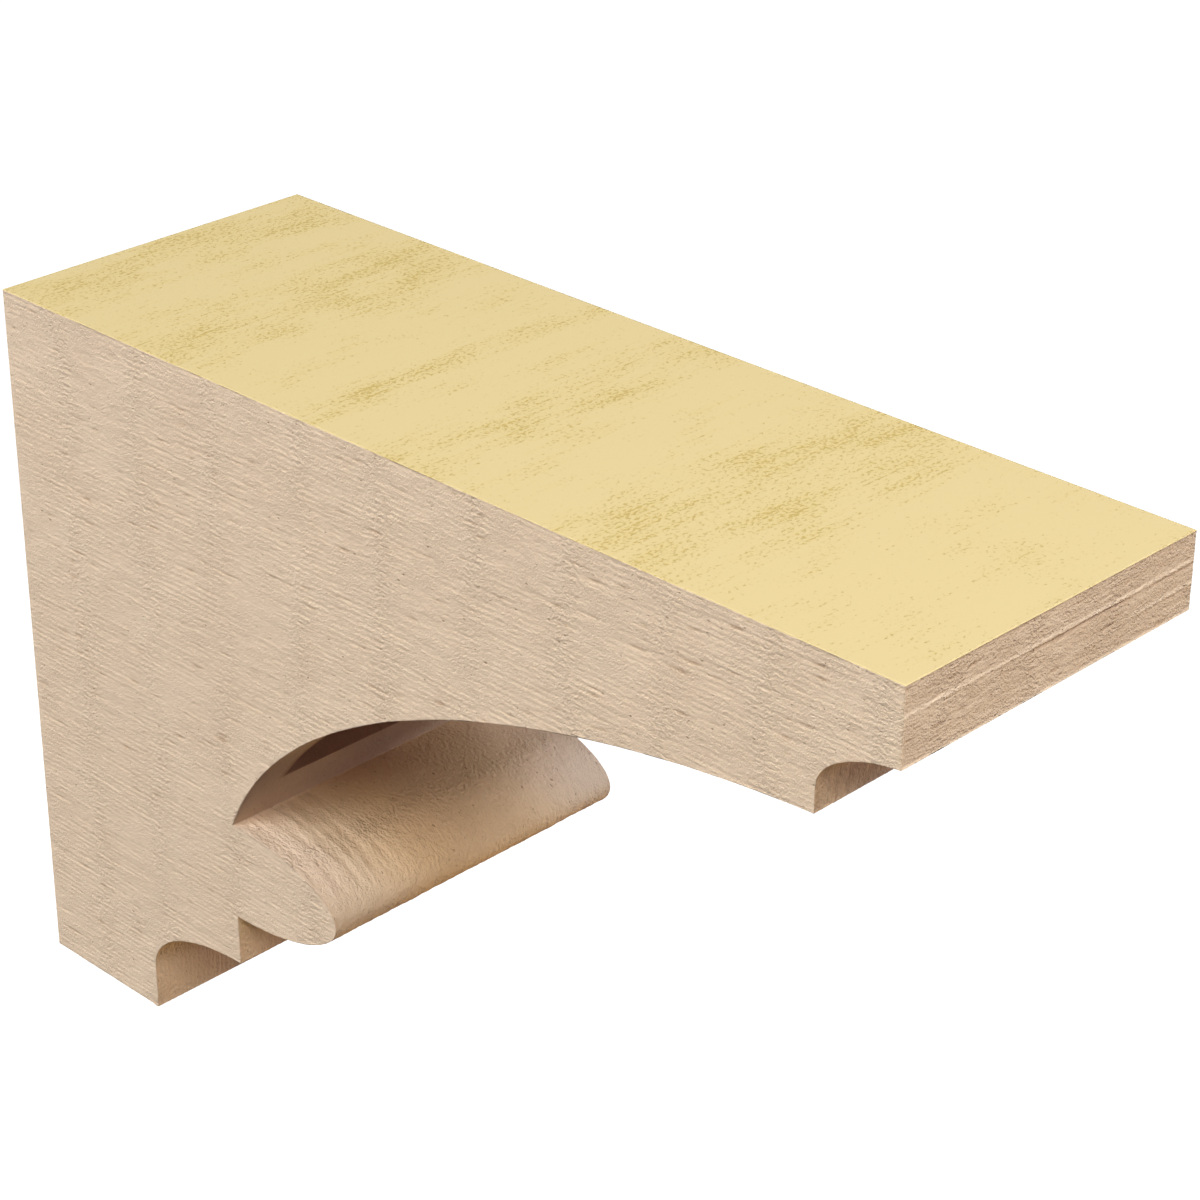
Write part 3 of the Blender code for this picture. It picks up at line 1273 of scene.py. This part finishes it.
@dataclass(frozen=True)
class PrimedSkin:
    """Polyurethane moulding skin, rough-sawn in the mould and sprayed with a tan primer: matt and gritty.

    Colours are sRGB. The heights are those of the bump, which adds the grain that is finer than the mesh. The
    shares say how strongly each effect shows.
    """

    colour: str = "dcc4a8"
    shade: str = "cfb497"
    # Painted shade in the deeper saw marks and along the creases.
    crevice_shade: str = "9c7857"
    # Painted shade colour, for the painted shadow and the small pits.
    shadow_brown: str = "855b3d"
    # Painted highlight: the pale pink that light gives the lobe's near and far ends.
    painted_highlight: str = "f0d4c2"
    # Yellower colour: on the lobe's middle, and as painted warm bounce light in the foot, step and front
    # cove.
    yellower: str = "dcb279"
    roughness: float = 0.75
    specular: float = 0.25
    fibres: Texture = texture(6.0, 0.8, 1.0, 2.0)
    grits: Texture = texture(0.8, 0.8, 2.0, 2.0)
    chops: Texture = texture(2.3, 1.5, 3.0, 2.0)
    pits: Texture = texture(2.6, 1.1, 4.0, 0.5, (0.70, 0.77))
    mottle: Texture = texture(34.0, 34.0, 5.0, 3.0, (0.3, 0.7))
    wash: Texture = texture(5.0, 2.0, 6.0, 2.0, (0.3, 0.7))
    patches: Texture = texture(16.0, 9.0, 7.0, 2.0, (0.35, 0.62))
    fibre: float = 0.12 * MM
    furrow: float = 0.6 * MM
    grit: float = 0.80 * MM
    chop: float = 0.85 * MM
    pit: float = 0.35 * MM
    least_grit: float = 0.4
    plain_chop: float = 0.52
    band_chop: float = 0.95
    highlit_chop: float = 2.0
    wash_share: float = 0.35
    mottle_share: float = 0.25
    yellow_share: float = 0.55
    # Painted shade in saw marks deeper than this, weaker on the yellower and highlit lobe, and along the
    # creases.
    deep: Span = (0.28 * MM, 0.75 * MM)
    cavity_shade_share: float = 0.55
    yellow_less_shade: float = 0.5
    highlit_less_shade: float = 0.8
    crease_share: float = 0.1
    # How strongly the small pits are darkened with painted shade.
    pit_share: float = 0.6
    painted_shadow_share: float = 0.68

    def tint(self, wiring: Wiring, grain: Term, place: Term, pits: Term,
             values: dict[str, bpy.types.NodeSocket]) -> bpy.types.NodeSocket:
        """Wires the skin's colour, with its painted shade and painted highlight.

        Args:
            wiring: The material's wiring.
            grain: The place along and across the grain.
            place: The place in the corbel.
            pits: 1 in the small pits and 0 beside them.
            values: The values that the mesh carries, by name.

        Returns:
            The colour.
        """
        yellower, highlit = values["yellower"], values["highlit"]
        mottle = wiring.sum("MULTIPLY", wiring.textured(place, self.mottle), self.mottle_share)
        shaded = wiring.sum("MULTIPLY_ADD", wiring.textured(grain, self.wash), self.wash_share, mottle)
        colour = wiring.mix(shaded, linear(self.colour), linear(self.shade))
        # Yellower on the lobe's middle, and painted warm bounce light in the foot, step and front cove.
        yellow = wiring.sum("MULTIPLY", yellower, self.yellow_share)
        colour = wiring.mix(yellow, colour, linear(self.yellower))
        # Painted highlight: paler where light falls on the lobe's near and far ends.
        colour = wiring.mix(highlit, colour, linear(self.painted_highlight))
        # Painted shade in the deeper saw marks, less where the lobe is yellower or highlit, and along the
        # creases.
        cavity_shade = wiring.sum("MAXIMUM", 0.0, wiring.total(
            self.cavity_shade_share,
            wiring.sum("MULTIPLY", yellower, -self.yellow_less_shade),
            wiring.sum("MULTIPLY", highlit, -self.highlit_less_shade),
        ))
        deep = wiring.sum("MULTIPLY", wiring.rise(values["relief"], *self.deep), cavity_shade)
        crease = wiring.sum("MULTIPLY", values["crease"], self.crease_share)
        colour = wiring.mix(wiring.sum("MAXIMUM", deep, crease), colour, linear(self.crevice_shade))
        # Painted shade in the small pits.
        colour = wiring.mix(wiring.sum("MULTIPLY", pits, self.pit_share), colour, linear(self.shadow_brown))
        # Painted shadow in the recess, at the vault's near rail, in the front cove and at the lobe's far root
        # and underside.
        painted_shadow = wiring.sum("MULTIPLY", values["painted_shadow"], self.painted_shadow_share)
        return wiring.mix(painted_shadow, colour, linear(self.shadow_brown))

    def height(self, wiring: Wiring, grain: Term, place: Term, pits: Term,
               values: dict[str, bpy.types.NodeSocket]) -> bpy.types.NodeSocket:
        """Wires the grain that is finer than the mesh.

        Args:
            wiring: The material's wiring.
            grain: The place along and across the grain.
            place: The place in the corbel.
            pits: 1 in the small pits and 0 beside them.
            values: The values that the mesh carries, by name.

        Returns:
            The height, in metres.
        """
        # Furrows and chop are stronger where the highlight is painted on the lobe.
        highlit, band = values["highlit"], values["band"]
        furrowed = wiring.sum("MULTIPLY_ADD", highlit, self.furrow, self.fibre)
        patches = wiring.textured(grain, self.patches)
        gritty = wiring.sum("MULTIPLY_ADD", patches, 1.0 - self.least_grit, self.least_grit)
        gritty = wiring.sum("MULTIPLY", wiring.sum("MAXIMUM", gritty, band), self.grit)
        torn = wiring.total(
            self.plain_chop,
            wiring.sum("MULTIPLY", band, self.band_chop),
            values["yellower"],
            wiring.sum("MULTIPLY", highlit, self.highlit_chop),
            values["coarse"],
        )
        chopped = wiring.sum("MULTIPLY", self.chop, torn)
        return wiring.total(
            wiring.sum("MULTIPLY", wiring.textured(grain, self.fibres), furrowed),
            wiring.sum("MULTIPLY", wiring.textured(place, self.grits), gritty),
            wiring.sum("MULTIPLY", wiring.textured(grain, self.chops), chopped),
            wiring.sum("MULTIPLY", pits, -self.pit),
        )

    def material(self) -> bpy.types.Material:
        """Builds the finish.

        Returns:
            The material.
        """
        made = matt("primed_polyurethane_skin", self.roughness, self.specular)
        wiring = Wiring(made.node_tree)
        place = add(made.node_tree, "ShaderNodeTexCoord").outputs["Object"]
        grain = add(made.node_tree, "ShaderNodeUVMap", {"uv_map": "grain"}).outputs[0]
        pits = wiring.textured(grain, self.pits)
        read = (wiring, grain, place, pits, wiring.read(SKIN_VALUES))
        wiring.dress(self.tint(*read), self.height(*read))
        return made


@dataclass(frozen=True)
class BareFoam:
    """Bare high-density polyurethane foam where the mould was open: yellow, dull, smeared with open cells.

    Each smear is a place on the way out from the wall and half a width, in metres.
    """

    colour: str = "d0b987"
    warm: str = "ceb36c"
    cell: str = "a08230"
    roughness: float = 0.85
    specular: float = 0.2
    smears: tuple[Span, ...] = (
        (0.018, 0.030), (0.093, 0.038), (0.178, 0.011), (0.235, 0.024), (0.335, 0.052),
    )
    clouds: Texture = texture(34.0, 15.0, 12.0, 4.0)
    drags: Texture = texture(60.0, 2.2, 13.0, 2.0)
    cells: Texture = texture(1.8, 1.2, 14.0, 2.0)
    smear_core: float = 0.2
    smear_share: float = 0.12
    cloud_share: float = 0.60
    drag_share: float = 0.42
    cell_share: float = 1.3
    opening: Span = (1.29, 1.49)
    open_share: float = 0.52
    haze: Span = (0.50, 0.76)
    haze_share: float = 0.35
    cell_depth: float = 0.10 * MM

    def material(self) -> bpy.types.Material:
        """Builds the finish.

        Returns:
            The material.
        """
        made = matt("bare_polyurethane_foam", self.roughness, self.specular)
        tree = made.node_tree
        wiring = Wiring(tree)
        grain = add(tree, "ShaderNodeUVMap", {"uv_map": "grain"}).outputs[0]
        out = add(tree, "ShaderNodeSeparateXYZ", None, {0: grain}).outputs[1]
        pulses = []
        for centre, half in self.smears:
            gap = wiring.sum("ABSOLUTE", wiring.sum("SUBTRACT", out, centre))
            pulses.append(wiring.sum("SUBTRACT", 1.0, wiring.rise(gap, self.smear_core * half, half)))
        smear = wiring.total(
            wiring.sum("MULTIPLY", wiring.total(*pulses), self.smear_share),
            wiring.sum("MULTIPLY", wiring.textured(grain, self.clouds), self.cloud_share),
            wiring.sum("MULTIPLY", wiring.textured(grain, self.drags), self.drag_share),
        )
        cells = wiring.sum("MULTIPLY", wiring.textured(grain, self.cells), self.cell_share)
        open_cells = wiring.rise(wiring.total(smear, cells), *self.opening)
        haze = wiring.sum("MULTIPLY", wiring.rise(smear, *self.haze), self.haze_share)
        colour = wiring.mix(haze, linear(self.colour), linear(self.warm))
        opened = wiring.sum("MULTIPLY", open_cells, self.open_share)
        colour = wiring.mix(opened, colour, linear(self.cell))
        wiring.dress(colour, wiring.sum("MULTIPLY", open_cells, -self.cell_depth))
        return made


@dataclass(frozen=True)
class Lamp:
    """One square soft light: where it hangs, how long its sides are, its power in watts and its colour."""

    name: str
    place: tuple[float, float, float]
    size: float
    power: float
    tint: str


LAMPS = (
    Lamp("near_left", (-1.80, -4.14, 0.90), 2.2, 150.0, "f2f3ff"),
    Lamp("near_high", (0.18, -2.88, 4.32), 2.9, 91.0, "def2ff"),
    Lamp("corner_high", (2.34, -2.34, 3.60), 2.2, 161.0, "fffced"),
    Lamp("front_far", (3.06, 1.62, 3.06), 1.8, 157.0, "ebf5ff"),
    Lamp("front_low", (4.50, 0.00, 1.62), 1.4, 36.0, "fdeaff"),
    Lamp("below_far", (0.54, 2.88, -1.80), 2.2, 104.0, "ffd89a"),
    Lamp("wall_side", (-4.20, 0.40, -1.20), 2.2, 100.0, "eef2ff"),
)


@dataclass
class Studio:
    """A plain white floor well below the corbel, soft lights round it and the photo's camera."""

    azimuth: float = 134.256
    elevation: float = 27.301
    roll: float = 0.248
    lens: float = 96.748
    camera_place: tuple[float, float, float] = (0.98890, -0.75502, 0.62390)
    sensor: float = 36.0
    floor_drop: float = 3.0
    floor_size: float = 40.0
    floor_tint: str = "f8f8f8"
    seen_white: str = "ffffff"
    room: str = "ffead8"
    room_strength: float = 0.02

    def camera(self) -> bpy.types.Object:
        """Makes the camera.

        Returns:
            The camera, which looks along the azimuth and down by the elevation.
        """
        data = bpy.data.cameras.new("camera")
        data.sensor_width = self.sensor
        data.lens = self.lens
        camera = bpy.data.objects.new("camera", data)
        bpy.context.scene.collection.objects.link(camera)
        turn = (
            Matrix.Rotation(math.radians(self.azimuth - 90.0), 4, "Z")
            @ Matrix.Rotation(math.radians(90.0 - self.elevation), 4, "X")
            @ Matrix.Rotation(math.radians(self.roll), 4, "Z")
        )
        camera.matrix_world = Matrix.Translation(self.camera_place) @ turn
        bpy.context.scene.camera = camera
        return camera

    def floor(self) -> bpy.types.Object:
        """Makes the floor.

        Returns:
            The floor, which shines white by itself and lends the corbel no light.
        """
        shape = bmesh.new()
        bmesh.ops.create_grid(shape, x_segments=1, y_segments=1, size=self.floor_size / 2)
        bmesh.ops.translate(shape, verts=shape.verts, vec=(0.0, 0.0, CAD_BOX[0].z - self.floor_drop))
        mesh = bpy.data.meshes.new("floor")
        shape.to_mesh(mesh)
        shape.free()
        floor = bpy.data.objects.new("floor", mesh)
        bpy.context.scene.collection.objects.link(floor)
        made = matt("white_paper_floor", 1.0, 0.0)
        inputs = made.node_tree.nodes[SHADER].inputs
        inputs["Base Color"].default_value = linear(self.floor_tint)
        inputs["Emission Color"].default_value = linear(self.seen_white)
        inputs["Emission Strength"].default_value = 1.0
        mesh.materials.append(made)
        floor.visible_diffuse = False
        floor.visible_glossy = False
        return floor

    def light(self, lamp: Lamp) -> bpy.types.Object:
        """Hangs one light so that it faces the corbel.

        Args:
            lamp: The light's sizes.

        Returns:
            The light, which the camera doesn't see.
        """
        data = bpy.data.lights.new(lamp.name, "AREA")
        data.shape = "SQUARE"
        data.size = lamp.size
        data.energy = lamp.power
        data.color = linear(lamp.tint)[:3]
        light = bpy.data.objects.new(lamp.name, data)
        bpy.context.scene.collection.objects.link(light)
        aim = (CAD_BOX[0] + CAD_BOX[1]) / 2 - Vector(lamp.place)
        turn = aim.to_track_quat("-Z", "Y").to_matrix().to_4x4()
        light.matrix_world = Matrix.Translation(lamp.place) @ turn
        light.visible_camera = False
        return light

    def world(self) -> bpy.types.World:
        """Makes the room.

        Returns:
            The world, white where the camera sees it, and a faint warm glow as light.
        """
        world = bpy.data.worlds.new("soft_room")
        world.use_nodes = True
        tree = world.node_tree
        seen = add(tree, "ShaderNodeLightPath").outputs["Is Camera Ray"]
        back = tree.nodes["Background"].inputs
        tree.links.new(Wiring(tree).mix(seen, linear(self.room), linear(self.seen_white)), back["Color"])
        tree.links.new(Wiring(tree).sum("MAXIMUM", seen, self.room_strength), back["Strength"])
        bpy.context.scene.world = world
        return world

    def build(self) -> None:
        """Makes the whole studio."""
        self.camera()
        self.floor()
        for lamp in LAMPS:
            self.light(lamp)
        self.world()
        bpy.context.scene.view_settings.view_transform = "Standard"


def main() -> None:
    """Builds the studio and the corbel."""
    logging.basicConfig(level=logging.INFO, format="%(name)s: %(message)s")
    Studio().build()
    low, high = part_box("corbel")
    body = CorbelBody(low, high)
    piece = body.build(SawnRelief(), PrimedSkin().material(), BareFoam().material())
    LOG.info("%s: %d vertices, %d faces", piece.name, len(piece.data.vertices), len(piece.data.polygons))


if __name__ == "__main__":
    main()
